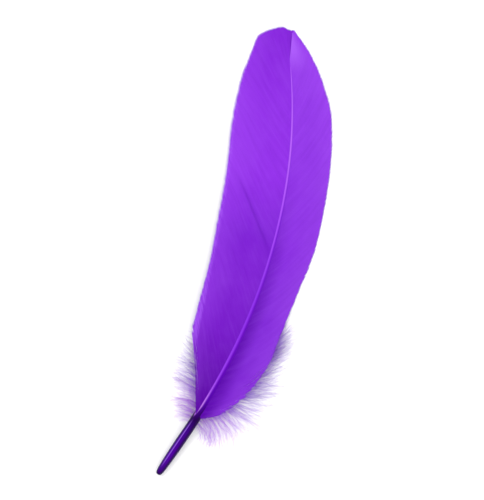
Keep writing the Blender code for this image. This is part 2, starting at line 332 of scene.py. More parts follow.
def nearest_on(line, points):
    """For each point, the nearest place on a line of points."""
    start, step = line[:-1], np.diff(line, axis=0)
    share = ((points[:, None] - start) * step).sum(-1) / np.maximum((step * step).sum(-1), 1e-18)
    places = start + np.clip(share, 0, 1)[..., None] * step
    gaps = np.linalg.norm(points[:, None] - places, axis=-1)
    return places[np.arange(len(points)), gaps.argmin(axis=1)]


def uneven(places, seed, scale):
    """A smooth random wave over places, from -1 to 1, that changes within the scale."""
    chance = np.random.default_rng(seed)
    count = int(places.max() / scale) + 4
    knots = chance.uniform(-1, 1, count)
    return np.interp(places / scale, np.arange(count), knots)


def guide_mesh(name, lines, **values):
    """Lines of points as a mesh of edges, with values kept on the points."""
    count, points = lines.shape[:2]
    mesh = bpy.data.meshes.new(name)
    number = np.arange(count * points).reshape(count, points)
    edges = np.stack((number[:, :-1], number[:, 1:]), axis=-1).reshape(-1, 2)
    mesh.vertices.add(count * points)
    mesh.vertices.foreach_set("co", lines.reshape(-1))
    mesh.edges.add(len(edges))
    mesh.edges.foreach_set("vertices", edges.reshape(-1))
    for key, value in values.items():
        flat = np.ascontiguousarray(np.broadcast_to(value, lines.shape[:2] + np.shape(value)[2:]))
        kind = "FLOAT_VECTOR" if flat.ndim == 3 else "FLOAT"
        layer = mesh.attributes.new(key, kind, "POINT")
        layer.data.foreach_set("vector" if flat.ndim == 3 else "value", flat.reshape(-1))
    return mesh


def barb_guides(vane, seed):
    """Guide lines of one vane's barbs, with the width of their webs and the vane's slope."""
    chance = np.random.default_rng(seed)
    roots = np.arange(QUILL_LENGTH, SHAFT_END, BARB_SPACING)
    loose = along(vane.looseness, roots)
    bends = BARB_BEND * uneven(roots, seed + 1, BARB_BEND_SCALE)
    bends += LOOSE_BEND * loose * chance.uniform(-1, 1, len(roots))
    overreach = chance.uniform(*BARB_OVERREACH, len(roots))
    overreach -= LOOSE_SHORTNESS * loose * chance.random(len(roots))
    overreach = np.maximum(overreach, -0.5 * vane.width(roots))
    places, length = vane.barbs(roots, bends, overreach)
    distance, outward = places[..., 0], places[..., 1]
    share = np.linspace(0, 1, BARB_SEGMENTS + 1)
    left = length[:, None] * (1 - share)
    wave = sum(
        size * uneven(roots, ripple_seed, scale)
        for ripple_seed, (size, scale) in enumerate(RIPPLES, seed + 2)
    )
    wave += LOOSE_LIFT * loose * chance.uniform(-0.4, 1, len(roots))
    wave = wave[:, None] * np.minimum(1, 4 * share)
    crease = np.exp(-(((roots - vane.crease_root) / CREASE_WIDTH) ** 2))[:, None]
    # It starts a little off the shaft and runs out before the edge
    crease = crease * np.clip(6 * share, 0, 1) * np.clip(2.6 - 3 * share, 0, 1)
    height = vane.height(distance, outward) + wave - CREASE_DEPTH * crease
    height = np.maximum(height, LEAST_HEIGHT)
    lines = on_feather(distance, vane.side * outward, height)

    before = [nearest_on(*pair) for pair in zip(lines[[0, *range(len(lines) - 1)]], lines)]
    after = [nearest_on(*pair) for pair in zip(lines[[*range(1, len(lines)), -1]], lines)]
    across = np.array(after) - np.array(before)
    ahead = unit(np.gradient(lines, axis=1))
    up = unit(np.cross(ahead, across))
    up *= np.sign(up[..., 2:])
    spacing = np.linalg.norm(across, axis=-1) / 2
    spacing[0] *= 2
    spacing[-1] *= 2
    half = np.minimum(spacing * WEB_OVERLAP / 2, WIDEST_WEB)
    half *= np.clip(left / BARB_POINT_LENGTH, 0.0, 1.0) ** BARB_POINT_POWER
    parted = loose[:, None] * share
    half *= 1 - LOOSE_THINNING * parted
    half = np.maximum(half, THINNEST_WEB)
    return guide_mesh(
        "barb_guides", lines,
        half_width=half,
        up=up,
        root_mm=roots[:, None] / MM,
        out_mm=length[:, None] * share / MM,
        place_mm=distance / MM,
        edge_share=outward / np.maximum(vane.width(distance), PATH_STEP),
        parted=parted,
        crease=crease,
        barb=np.arange(len(roots))[:, None] + 0.0,
        length_share=share[None, :] + 0 * half,
    )


def shaft_guide():
    """The shaft's centre line, finely cut at its rounded end."""
    body = np.linspace(QUILL_END_LENGTH, SHAFT_END, SHAFT_SECTIONS)
    places = np.concatenate((QUILL_END, body))
    radius = along(SHAFT_RADIUS, places)
    radius[: len(QUILL_END_RADII)] = QUILL_END_RADII
    thinning = np.clip((places - SHAFT_END) / SHAFT_TIP_LENGTH + 1, 0.0, 1.0)
    radius *= 1 - SHAFT_TIP_THINNING * thinning**2
    height = along(SHAFT_HEIGHT, places) - SHAFT_TIP_SINKING * thinning**2
    line = on_feather(places, 0.0 * places, height)
    turned = heading(places)
    right = np.stack((np.cos(turned), -np.sin(turned), 0 * turned), axis=-1)
    ahead = unit(np.gradient(line, axis=0))
    up = unit(np.cross(right, ahead))
    return guide_mesh(
        "shaft_guide", line[None],
        radius_m=radius[None],
        up=up[None],
        right=right[None],
        rachis=along(RACHIS_SHARE, places)[None],
        root_mm=places[None] / MM,
        barb=0 * places[None],
        length_share=np.linspace(0, 1, len(places))[None],
    )


def down_guides(vane, down, locks, seed):
    """Guide lines of one side's strands of down, which part from each other in a lock."""
    chance = random.Random(seed)
    share = np.linspace(0, 1, STRAND_SEGMENTS + 1)
    lines, roots, hidden, roofs = [], [], [], []
    for lock in range(locks):
        lock_root = down[0][0] + (down[-1][0] - down[0][0]) * lock / (locks - 1)
        lock_lean = chance.uniform(-LOCK_LEAN, LOCK_LEAN)
        lock_tip = chance.uniform(*LOCK_TIP_HEIGHT)
        strands = round(float(along(down, lock_root, 5)))
        for strand in range(strands):
            root = lock_root + chance.uniform(-ROOT_SPREAD, ROOT_SPREAD)
            first, last, longest, shortest = (
                float(along(down, root, column)) for column in (1, 2, 3, 4)
            )
            length = chance.uniform(shortest, longest)
            fan = LOCK_FAN * (strand + 0.5 - strands / 2) / strands
            fan += chance.gauss(0, STRAND_TURN) + lock_lean
            curl = chance.gauss(0, STRAND_CURL)
            phase = chance.uniform(0, 2 * math.pi)
            waves = chance.uniform(*STRAND_WAVES)
            degrees = first + (last - first) * share + fan * share
            degrees += curl * share * np.sin(2 * math.pi * waves * share + phase)
            angle = np.radians(degrees)
            stretch = length / STRAND_SEGMENTS
            distance = root + stretch * sums_before(np.cos(angle))
            outward = stretch * sums_before(np.sin(angle))
            depth = DOWN_ROOT_DEPTH * along(SHAFT_RADIUS, root)
            root_height = along(SHAFT_HEIGHT, root) - depth
            height = root_height + (lock_tip - root_height) * share**DOWN_FALL
            arch = chance.uniform(0.0, STRAND_ARCH) * np.sin(math.pi * share) ** 2
            bob = STRAND_BOB * share * np.sin(2 * math.pi * BOB_WAVES * share + phase)
            under = vane.width(distance) - outward
            roof = vane.height(distance, outward) - ROOF_DROP
            roof = roof + ROOF_SLOPE * np.maximum(0.0, -under)
            height = np.minimum(height + arch + bob, roof - BARBULE_ROOM)
            height = np.maximum(height, BARBULE_ROOM)
            lines.append(on_feather(distance, vane.side * outward, height))
            roots.append(root)
            hidden.append(under)
            roofs.append(roof)
    lines, roots = np.array(lines), np.array(roots)
    ahead = unit(np.gradient(lines, axis=1))
    up = np.array((0.0, 0.0, 1.0)) - ahead * ahead[..., 2:]
    radius = STRAND_RADIUS + (STRAND_TIP_RADIUS - STRAND_RADIUS) * share
    return guide_mesh(
        "down_guides", lines,
        half_width=radius[None] + 0 * lines[..., 0],
        up=unit(up),
        root_mm=roots[:, None] / MM,
        hidden_mm=np.array(hidden) / MM,
        roof_m=np.array(roofs),
        barb=np.arange(len(roots))[:, None] + 0.0,
        length_share=share[None, :] + 0 * lines[..., 0],
    )


# Node trees


def put(tree, kind, inputs=None, **settings):
    """Adds a node. An input's value is a number, a vector, or the socket that feeds it."""
    node = tree.nodes.new(kind)
    for key, value in settings.items():
        setattr(node, key, value)
    for key, value in (inputs or {}).items():
        socket = node.inputs[key]
        sources = value if isinstance(value, list) else [value]
        for source in sources:
            if isinstance(source, bpy.types.NodeSocket):
                tree.links.new(source, socket)
            else:
                socket.default_value = source
    return node


def maths(tree, operation, *terms):
    return put(tree, "ShaderNodeMath", dict(enumerate(terms)), operation=operation).outputs[0]


def times(tree, product, *factors):
    for factor in factors:
        product = maths(tree, "MULTIPLY", product, factor)
    return product


def vector(tree, x=0.0, y=0.0, z=0.0):
    return put(tree, "ShaderNodeCombineXYZ", {0: x, 1: y, 2: z}).outputs[0]


def tree_with(name, kind, inputs, outputs):
    """A node group, with its (name, socket kind, value) inputs and (name, kind) outputs."""
    tree = bpy.data.node_groups.new(name, kind)
    for label, socket_kind, value in inputs:
        socket = tree.interface.new_socket(label, in_out="INPUT", socket_type=socket_kind)
        if value is not None:
            socket.default_value = value
    for label, socket_kind in outputs:
        tree.interface.new_socket(label, in_out="OUTPUT", socket_type=socket_kind)
    return tree, tree.nodes.new("NodeGroupInput").outputs


def growing_tree(name, sizes):
    """A Geometry Nodes tree over guide lines, with a material and named sizes."""
    inputs = [("Guides", "NodeSocketGeometry", None), ("Material", "NodeSocketMaterial", None)]
    inputs += [(label, f"NodeSocket{kind}", value) for label, kind, value in sizes]
    return tree_with(name, "GeometryNodeTree", inputs, [("Mesh", "NodeSocketGeometry")])


def stored(tree, name, kind="FLOAT"):
    node = put(tree, "GeometryNodeInputNamedAttribute", {"Name": name}, data_type=kind)
    return node.outputs["Attribute"]


def keep_value(tree, geometry, name, value, domain="POINT"):
    return put(
        tree, "GeometryNodeStoreNamedAttribute",
        {"Geometry": geometry, "Name": name, "Value": value},
        data_type="FLOAT", domain=domain,
    ).outputs["Geometry"]


def guide_curves(tree, guides):
    """The guide lines as curves whose normal is the stored up."""
    curves = put(tree, "GeometryNodeMeshToCurve", {"Mesh": guides})
    normal = stored(tree, "up", "FLOAT_VECTOR")
    turned = put(tree, "GeometryNodeSetCurveNormal", {"Curve": curves.outputs[0]}, mode="FREE")
    tree.links.new(normal, turned.inputs["Normal"])
    return turned.outputs["Curve"]


def round_profile(tree, sides):
    """A unit circle whose points know how far round they are, with X as up on the curve."""
    circle = put(tree, "GeometryNodeCurvePrimitiveCircle", {"Resolution": sides, "Radius": 1.0})
    number = put(tree, "GeometryNodeInputIndex").outputs[0]
    around = maths(tree, "DIVIDE", number, sides)
    return keep_value(tree, circle.outputs["Curve"], "around", around)


def place_parts(tree):
    """X, Y and Z of each point."""
    place = put(tree, "GeometryNodeInputPosition").outputs[0]
    return put(tree, "ShaderNodeSeparateXYZ", {0: place}).outputs


def moved(tree, mesh, **where):
    """The mesh with its points at a Position, or moved by an Offset."""
    return put(tree, "GeometryNodeSetPosition", {"Geometry": mesh, **where}).outputs[0]


def sweep(tree, curves, profile, radius):
    """A closed mesh along the curves, scaled by the radius stored on them."""
    given = {"Curve": curves, "Profile Curve": profile, "Scale": stored(tree, radius)}
    return put(tree, "GeometryNodeCurveToMesh", {**given, "Fill Caps": True}).outputs[0]


def finish_tree(tree, mesh, material):
    """Ends a tree with a smooth, real mesh of the material."""
    for kind in ("GeometryNodeSetShadeSmooth", "GeometryNodeRealizeInstances"):
        mesh = put(tree, kind, {0: mesh}).outputs[0]
    done = put(tree, "GeometryNodeSetMaterial", {"Geometry": mesh, "Material": material})
    put(tree, "NodeGroupOutput", {0: done.outputs[0]})
    return tree


def barb_tree():
    """Sweeps a thin web with a raised middle rib along each guide line."""
    tree, given = growing_tree(
        "barbs_along_guides",
        (("Sides", "Int", 8), ("Rib Height", "Float", 0.20), ("Web Tilt", "Float", 0.10)),
    )
    profile = round_profile(tree, given["Sides"])
    up, across, _ = place_parts(tree)
    rib = times(tree, maths(tree, "POWER", up, 3.0), given["Rib Height"])
    tilted = maths(tree, "MULTIPLY_ADD", across, given["Web Tilt"], rib)
    profile = moved(tree, profile, Position=vector(tree, tilted, across))
    webs = sweep(tree, guide_curves(tree, given["Guides"]), profile, "half_width")
    return finish_tree(tree, webs, given["Material"])


def shaft_tree():
    """Sweeps the shaft: a round quill that turns into a squarer rachis, grooved below."""
    tree, given = growing_tree(
        "shaft_along_guide",
        (("Sides", "Int", 28), ("Squareness", "Float", 0.20), ("Groove Depth", "Float", 0.45)),
    )
    profile = round_profile(tree, given["Sides"])
    up, across, _ = place_parts(tree)
    profile = keep_value(tree, profile, "profile_up", up)
    profile = keep_value(tree, profile, "profile_across", across)
    shaft = sweep(tree, guide_curves(tree, given["Guides"]), profile, "radius_m")
    up, across = stored(tree, "profile_up"), stored(tree, "profile_across")
    rachis, radius = stored(tree, "rachis"), stored(tree, "radius_m")
    # The circle's points move out onto a squarer outline, and the lowest ones into a groove
    powers = (maths(tree, "POWER", maths(tree, "ABSOLUTE", way), 4.0) for way in (up, across))
    outline = maths(tree, "POWER", maths(tree, "ADD", *powers), -0.25)
    swelling = maths(tree, "SUBTRACT", outline, 1.0)
    swelling = times(tree, rachis, given["Squareness"], swelling)
    below = maths(tree, "MAXIMUM", times(tree, up, -1.0), 0.0)
    groove = times(tree, maths(tree, "POWER", below, 10.0), rachis, given["Groove Depth"])
    rise, spread = maths(tree, "MULTIPLY_ADD", up, swelling, groove), times(tree, across, swelling)
    moves = [
        put(
            tree, "ShaderNodeVectorMath",
            {0: stored(tree, way, "FLOAT_VECTOR"), "Scale": times(tree, move, radius)},
            operation="SCALE",
        ).outputs[0]
        for way, move in (("up", rise), ("right", spread))
    ]
    offset = put(tree, "ShaderNodeVectorMath", dict(enumerate(moves)), operation="ADD").outputs[0]
    return finish_tree(tree, moved(tree, shaft, Offset=offset), given["Material"])


def down_tree():
    """Sweeps the strands of down, and sets barbules on both sides of each.

    They are fewer far under the vane and far out, where only one in so many stays.
    """
    tree, given = growing_tree(
        "strands_with_barbules",
        (
            ("Barbule", "Object", None),
            ("Strand Sides", "Int", 3),
            ("Barbule Spacing", "Float", 0.00015),
            ("Barbule Length", "Float", 0.0011),
            ("Hidden Depth", "Float", 2.0),
            ("Hidden Spacing", "Float", 6.0),
            ("Outer Reach", "Float", 1.5),
            ("Outer Spacing", "Float", 2.0),
            ("Least Height", "Float", 0.00006),
            ("Seed", "Int", 3),
        ),
    )
    curves = guide_curves(tree, given["Guides"])
    strands = sweep(tree, curves, round_profile(tree, given["Strand Sides"]), "half_width")
    strands = keep_value(tree, strands, "barbule", -1.0)
    spots = put(
        tree, "GeometryNodeCurveToPoints", {"Curve": curves, "Length": given["Barbule Spacing"]},
        mode="LENGTH",
    )
    share = stored(tree, "length_share")
    number = put(tree, "GeometryNodeInputIndex").outputs[0]
    under = stored(tree, "hidden_mm")
    deep = maths(tree, "GREATER_THAN", under, given["Hidden Depth"])
    far_out = maths(tree, "GREATER_THAN", times(tree, under, -1.0), given["Outer Reach"])
    # Two neighbours, one on either side of the strand, go or stay together
    pair = maths(tree, "FLOOR", times(tree, number, 0.5))
    bare = maths(tree, "LESS_THAN", share, BARE_SHARE)
    for place, spacing in ((deep, "Hidden Spacing"), (far_out, "Outer Spacing")):
        between_kept = maths(tree, "MODULO", pair, given[spacing])
        bare = maths(tree, "MAXIMUM", bare, times(tree, place, between_kept))
    dropped = {"Geometry": spots.outputs["Points"], "Selection": bare}
    points = put(tree, "GeometryNodeDeleteGeometry", dropped).outputs[0]

    def chance(between_these, seed_step):
        low, high = between_these
        seed = maths(tree, "ADD", given["Seed"], float(seed_step))
        return put(tree, "FunctionNodeRandomValue", {2: low, 3: high, "Seed": seed}).outputs[1]

    barbule = put(tree, "GeometryNodeObjectInfo", {"Object": given["Barbule"]}).outputs["Geometry"]
    odd = maths(tree, "MULTIPLY_ADD", maths(tree, "MODULO", number, 2.0), 2.0, -1.0)
    turns = vector(tree, times(tree, odd, chance(BARBULE_LEAN, 1)), z=chance(BARBULE_TWIST, 2))
    local = put(tree, "FunctionNodeEulerToRotation", {0: turns}).outputs[0]
    turned = put(
        tree, "FunctionNodeRotateRotation",
        {"Rotation": spots.outputs["Rotation"], "Rotate By": local}, rotation_space="LOCAL",
    ).outputs[0]
    # They are longest a third of the way out
    fading = maths(tree, "SUBTRACT", 1.1, times(tree, share, 0.45))
    starting = maths(tree, "MINIMUM", times(tree, share, 3.0), 1.0)
    size = times(tree, fading, starting, chance(BARBULE_SIZES, 3), given["Barbule Length"])
    barbules = put(
        tree, "GeometryNodeInstanceOnPoints",
        {"Points": points, "Instance": barbule, "Rotation": turned, "Scale": size},
    ).outputs[0]
    barbules = keep_value(tree, barbules, "barbule", number, "INSTANCE")
    barbules = put(tree, "GeometryNodeRealizeInstances", {0: barbules}).outputs[0]
    whole = put(tree, "GeometryNodeJoinGeometry", {0: [strands, barbules]}).outputs[0]
    # Nothing comes up through the vane or goes down through the surface
    x, y, z = place_parts(tree)
    z = maths(tree, "MINIMUM", z, stored(tree, "roof_m"))
    z = maths(tree, "MAXIMUM", z, given["Least Height"])
    whole = moved(tree, whole, Position=vector(tree, x, y, z))
    return finish_tree(tree, whole, given["Material"])


def barbule_mesh():
    """One barbule of unit length, a thin spike along +Z that leans a little."""
    mesh = bpy.data.meshes.new("barbule")
    radius, lean = 0.014, 0.15
    corners = [2 * math.pi * corner / 3 for corner in range(3)]
    points = [(radius * math.cos(angle), radius * math.sin(angle), 0.0) for angle in corners]
    points.append((lean, 0.0, 1.0))
    mesh.from_pydata(points, [], [(2, 1, 0), (0, 1, 3), (1, 2, 3), (2, 0, 3)])
    return mesh


def plain_object(name, mesh):
    obj = bpy.data.objects.new(name, mesh)
    bpy.context.scene.collection.objects.link(obj)
    return obj


def grow(name, guides, tree, sizes, tall=1):
    """Runs a tree over guide lines and keeps the result as a plain mesh with a map."""
    carrier = plain_object(name + "_guides", guides)
    modifier = carrier.modifiers.new(tree.name, "NODES")
    modifier.node_group = tree
    for item in tree.interface.items_tree:
        if item.in_out == "INPUT" and item.name in sizes:
            modifier[item.identifier] = sizes[item.name]
    ready = bpy.context.evaluated_depsgraph_get()
    mesh = bpy.data.meshes.new_from_object(
        carrier.evaluated_get(ready), preserve_all_data_layers=True, depsgraph=ready
    )
    carrier.modifiers.remove(modifier)
    bpy.data.objects.remove(carrier)
    mesh.name = name
    lay_map(mesh, tall)
    return plain_object(name, mesh)


def values_of(mesh, name, default=0.0):
    layer = mesh.attributes.get(name)
    values = np.full(len(mesh.vertices), default, np.float32)
    if layer is not None:
        layer.data.foreach_get("value", values)
    return values


def lay_map(mesh, tall):
    """Lays each barb, strand and barbule in a cell of its own on a square map.

    A cell is about so many times as tall as it is wide.
    """
    vertex = np.zeros(len(mesh.loops), np.int32)
    mesh.loops.foreach_get("vertex_index", vertex)
    starts = np.zeros(len(mesh.polygons), np.int32)
    mesh.polygons.foreach_get("loop_start", starts)
    barb, barbule = values_of(mesh, "barb"), values_of(mesh, "barbule", -1.0)
    cells = np.where(barbule < 0, barb, barb.max() + 1 + barbule)
    cell, count = np.round(cells)[vertex], int(cells.max()) + 1
    share = values_of(mesh, "length_share")[vertex]
    around = values_of(mesh, "around")[vertex]
    highest = np.maximum.reduceat(around, starts)
    sizes = np.diff(np.append(starts, len(vertex)))
    wraps = np.repeat(highest, sizes) - around > 0.5
    around = around + wraps
    columns = math.ceil(math.sqrt(count * tall))
    rows = math.ceil(count / columns)
    side, end = 0.1, 0.04  # left free in a cell
    places = np.stack(
        ((cell % columns + side + (1 - 2 * side) * around) / columns,
         (cell // columns + end + (1 - 2 * end) * share) / rows),
        axis=-1,
    )
    layer = mesh.uv_layers.new(name="OFBake")
    layer.data.foreach_set("uv", places.astype(np.float32).reshape(-1))


# Materials


def seen(red, green, blue, light=LIGHT_LEVEL):
    """The colour that looks like this on screen, from 0 to 255, in the scene's light."""
    parts = [value / 255 for value in (red, green, blue)]
    parts = [p / 12.92 if p <= 0.04045 else ((p + 0.055) / 1.055) ** 2.4 for p in parts]
    return (*(p / light for p in parts), 1.0)


def dyes(*rows, light=LIGHT_LEVEL):
    """Stops of a ramp of colours, from rows of place, red, green and blue."""
    return [(place, seen(*colour, light)) for place, *colour in rows]


# Deep dye for streaks and single barbs, also painted shade beside the shaft and in the crease
DEEP_DYE_AND_SHADE = seen(92, 0, 174)
# Pale dye for streaks and parted barbs, also painted light on the wide vane's rim and near the tip
PALE_DYE_AND_PAINTED_LIGHT = seen(178, 96, 255)
PAINTED_EDGE_LIGHT = seen(172, 78, 255)
THIN_QUILL_DYE = seen(130, 44, 220)
QUILL_SHADE = seen(24, 0, 58)
QUILL_GLEAM = seen(176, 112, 250)
QUILL_SIDE_DOWN_DYE = seen(232, 130, 255, 1.0)
THIN_DOWN_DYE = seen(208, 168, 255, 1.0)
SHINE = seen(176, 70, 255, 1.0)
DOWN_SHINE = seen(220, 190, 255)

# From the quill's end to the tip. Darker towards the base, partly dye and partly painted shade
WIDE_VANE_DYES_AND_SHADE = dyes(
    (0.18, 94, 4, 166), (0.33, 123, 28, 206), (0.44, 132, 38, 216), (0.55, 130, 35, 218),
    (0.68, 153, 53, 239), (0.85, 150, 52, 236), (1.0, 137, 38, 224),
)
NARROW_VANE_DYES_AND_SHADE = dyes(
    (0.18, 124, 27, 212), (0.33, 134, 45, 222), (0.55, 146, 53, 234), (0.68, 151, 59, 237),
    (1.0, 156, 66, 240),
)
# From the quill's end to the shaft's. The flank is partly dye, partly painted shade: its deep
# violet is the rachis's shaded side, and the near-black stop at 0.15 a painted shadow where the
# vanes begin
FLANK_DYES_AND_SHADE = dyes(
    (0.0, 16, 0, 36), (0.012, 62, 4, 128), (0.05, 78, 0, 158), (0.12, 56, 0, 128),
    (0.15, 30, 0, 70), (0.20, 84, 0, 172), (0.28, 100, 4, 188), (0.40, 108, 14, 198),
    (0.75, 132, 42, 222), (1.0, 150, 66, 236),
)
# Partly the rachis's paler top, partly a painted highlight
RIDGE_DYES_AND_HIGHLIGHT = dyes(
    (0.16, 210, 132, 255), (0.185, 218, 136, 255), (0.225, 176, 86, 246), (0.26, 160, 66, 244),
    (0.36, 148, 54, 237), (0.46, 148, 56, 238), (0.62, 172, 80, 250), (0.80, 190, 104, 252),
    (1.0, 182, 98, 250),
)
# From a strand's root to its tip
STRAND_DYES = dyes(
    (0.0, 108, 16, 220), (0.50, 120, 40, 212), (0.80, 112, 62, 186), (1.0, 110, 78, 164),
    light=1.0,
)
BARBULE_DYES = dyes(
    (0.0, 156, 66, 255), (0.50, 184, 116, 254), (0.80, 198, 150, 248), (1.0, 210, 180, 248),
    light=1.0,
)

# Each pair says where a tone begins and where it is full. On the vanes, in mm along the feather
TOWARDS_BASE, ABOVE_DOWN, TIP_REFLECTION = (140.0, 45.0), (42.0, 52.0), (162.0, 174.0)
# In mm along a barb, then as shares of a vane's width
SHADE_BESIDE_SHAFT = (11.0, 1.0)
OUTER_VANE, INSIDE_TIP = (0.40, 1.0), (0.95, 0.25)
# In the streaks' own values, and in how far barbs have parted
DARK_STREAKS, PALE_STREAKS, FINE_STREAKS = (0.52, 0.30), (0.52, 0.72), (0.35, 0.70)
RIM_LIGHT_STREAKS, PALE_BARBS, PARTED_BARBS = (0.34, 0.58), (0.3, 0.9), (0.05, 0.8)
# The painted rim light starts at a share of the width that grows with mm along the feather
RIM_START, RIM_GROWTH, RIM_START_LIMIT, RIM_FADE = 0.63, 0.0034, 0.91, 0.07
# On the shaft, in mm from the quill's end
BARE_QUILL, BESIDE_QUILL = (34.0, 27.0), (40.0, 29.0)
GLEAM_FROM, GLEAM_TO = (2.5, 7.0), (26.0, 21.0)
RIDGE_FROM, RIDGE_OPENS, RIDGE_WIDENS = (25.5, 28.0), (25.0, 31.0), (31.0, 60.0)
RIDGE_LEFT = (140.0, 95.0)
# Across the shaft, from -1 on its left to 1
QUILL_FLANKS = ((0.10, 0.62), (-0.60, -0.86))
GLEAM_PLACE, GLEAM_SIDES = -0.41, (0.14, 0.04)
RIDGE_PLACE, RIDGE_WIDTH, RIDGE_WIDTH_GAIN, RIDGE_FLAT_SHARE = -0.64, 0.62, 0.50, 0.08
# The strands carry -1 for their barbule, and the barbules their number
ON_BARBULE = (-0.9, -0.4)


def ramp(tree, value, stops):
    """Colours against a value from 0 to 1."""
    node = put(tree, "ShaderNodeValToRGB", {0: value})
    elements = node.color_ramp.elements
    while len(elements) < len(stops):
        elements.new(0.5)
    for element, (place, colour) in zip(elements, stops):
        element.position = place
        element.color = colour
    return node.outputs["Color"]


def blended(tree, share, first, second):
    """The first colour where the share is 0, the second where it is 1."""
    given = {0: share, 6: first, 7: second}
    return put(tree, "ShaderNodeMix", given, data_type="RGBA").outputs[2]


def measured(tree, name):
    """A value that the piece's points carry."""
    return put(tree, "ShaderNodeAttribute", attribute_name=name).outputs["Fac"]


def between(tree, value, low, high, smooth=True):
    """0 below the low value, 1 above the high one."""
    node = put(
        tree, "ShaderNodeMapRange", {"Value": value, "From Min": low, "From Max": high},
        interpolation_type="SMOOTHSTEP" if smooth else "LINEAR",
    )
    return node.outputs["Result"]


def away_from(tree, value, middle):
    """How far a value is from the middle one, on either side."""
    return maths(tree, "ABSOLUTE", maths(tree, "SUBTRACT", value, middle))


def noise(tree, scale, place=None, **settings):
    """Soft random values from 0 to 1, over the piece unless another place is given."""
    if place is None:
        place = put(tree, "ShaderNodeTexCoord").outputs["Object"]
    given = {"Vector": place, "Scale": scale, **settings}
    return put(tree, "ShaderNodeTexNoise", given).outputs["Fac"]


def varied(tree, value, low, high):
    """A value from 0 to 1 turned into one from low to high."""
    given = {"Value": value, "To Min": low, "To Max": high}
    return put(tree, "ShaderNodeMapRange", given).outputs["Result"]


def cloud_group():
    """Uneven uptake of dye, in soft clouds over the piece."""
    tree, given = tree_with(
        "uneven_dye", "ShaderNodeTree",
        (
            ("Dye", "NodeSocketColor", (0.3, 0.04, 0.8, 1)),
            ("Thin Dye", "NodeSocketColor", (0.4, 0.1, 0.9, 1)),
            ("Scale", "NodeSocketFloat", 120.0),
            ("Amount", "NodeSocketFloat", 0.4),
        ),
        (("Colour", "NodeSocketColor"), ("Thinness", "NodeSocketFloat")),
    )
    cloud = noise(tree, given["Scale"], Detail=3.0, Roughness=0.55)
    thin = between(tree, cloud, 0.38, 0.66)
    amount = times(tree, thin, given["Amount"])
    colour = blended(tree, amount, given["Dye"], given["Thin Dye"])
    put(tree, "NodeGroupOutput", {"Colour": colour, "Thinness": thin})
    return tree


def streak_group():
    """Streaks that follow the barbs: broad ones over many barbs, and one tone per barb."""
    tree, given = tree_with(
        "streaks_on_barbs", "ShaderNodeTree",
        (
            ("Broad Width", "NodeSocketFloat", 2.4),
            ("Fine Width", "NodeSocketFloat", 0.7),
            ("Seed", "NodeSocketFloat", 0.0),
        ),
        (("Broad", "NodeSocketFloat"), ("Fine", "NodeSocketFloat"), ("Single", "NodeSocketFloat")),
    )
    root, out = measured(tree, "root_mm"), measured(tree, "out_mm")

    def streaks(width, length, detail):
        x, y = maths(tree, "DIVIDE", root, width), maths(tree, "DIVIDE", out, length)
        return noise(tree, 1.0, vector(tree, x, y, given["Seed"]), Detail=detail)

    broad = streaks(given["Broad Width"], length=16.0, detail=1.0)
    fine = streaks(given["Fine Width"], length=7.0, detail=2.0)
    barb = maths(tree, "ADD", measured(tree, "barb"), given["Seed"])
    single = put(
        tree, "ShaderNodeTexWhiteNoise", {"W": barb}, noise_dimensions="1D"
    ).outputs["Value"]
    put(tree, "NodeGroupOutput", {"Broad": broad, "Fine": fine, "Single": single})
    return tree


def new_material(name, **settings):
    """A material whose shader has these settings, and its tree and shader."""
    material = bpy.data.materials.new(name)
    material.use_nodes = True
    tree = material.node_tree
    shader = tree.nodes["Principled BSDF"]
    for key, value in settings.items():
        shader.inputs[key.replace("_", " ")].default_value = value
    return material, tree, shader


def placed(tree, group, **inputs):
    """A shader group's outputs, with its inputs set or fed."""
    values = {key.replace("_", " "): value for key, value in inputs.items()}
    return put(tree, "ShaderNodeGroup", values, node_tree=group).outputs


def touched(tree, dye, amount, colour, *masks):
    """A dye with so much of another colour in it where all the masks are 1."""
    return blended(tree, times(tree, amount, *masks), dye, colour)


